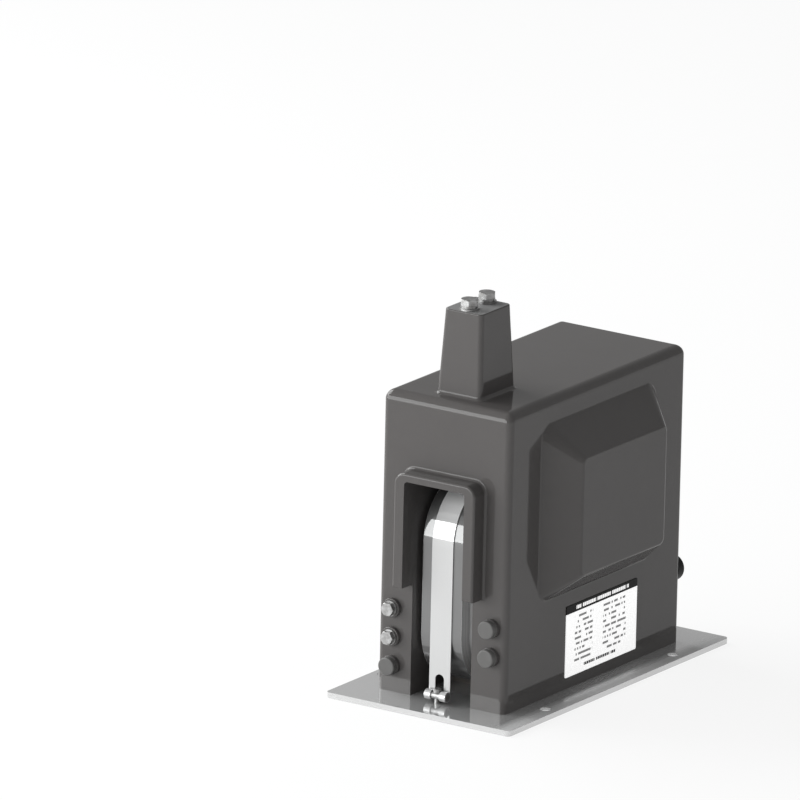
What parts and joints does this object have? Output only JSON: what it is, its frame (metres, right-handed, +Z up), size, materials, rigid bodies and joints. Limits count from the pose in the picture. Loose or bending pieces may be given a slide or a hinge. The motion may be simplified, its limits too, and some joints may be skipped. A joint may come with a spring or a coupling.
{
  "type": "cast resin voltage transformer",
  "caption": "Single-pole indoor voltage transformer: cast resin block with side bulges, a square high voltage post and a banded wound core on a steel base plate.",
  "frame": {"origin": "centre of the base plate's underside", "axes": "+X to the right across the terminal side, +Y from the terminal side to the back, +Z up the post"},
  "size_m": [0.22, 0.406, 0.4177],
  "materials": {
    "resin": "glossy dark grey cast epoxy resin",
    "plate_steel": "light grey polished steel plate",
    "core_steel": "wound grain-oriented strip, grey, with layer lines on its edges",
    "band_steel": "bright stainless strip",
    "screw_steel": "zinc plated, bright",
    "insert_brass": "turned brass",
    "copper": "enamelled copper",
    "screen_sheet": "thin rolled sheet",
    "tube_board": "wound pressboard tube",
    "pad_board": "dense laminated pressboard",
    "plug_plastic": "dark moulded plastic",
    "label_sheet": "white coated sheet with a black header strip"
  },
  "bodies": {
    "root": {"band_screws": "screw_steel", "band_trunnions": "screw_steel", "base_plate": "plate_steel", "blind_plugs": "plug_plastic", "cast_body": "resin", "core_band": "band_steel", "core_front_half": "core_steel", "core_pads": "pad_board", "core_rear_half": "core_steel", "earth_end_lead": "copper", "earth_screw": "screw_steel", "earth_washer": "screw_steel", "foot_inserts": "insert_brass", "high_voltage_bolts": "screw_steel", "high_voltage_lead": "copper", "high_voltage_spring_washers": "screw_steel", "high_voltage_terminal": "insert_brass", "high_voltage_washers": "screw_steel", "outer_screen": "screen_sheet", "plate_screws": "screw_steel", "primary_winding": "copper", "rating_plate": "label_sheet", "rear_plug": "plug_plastic", "secondary_leads": "copper", "secondary_winding": "copper", "terminal_inserts": "insert_brass", "terminal_screws": "screw_steel", "terminal_washers": "screw_steel", "winding_tube": "tube_board"}
  },
  "joints": []
}
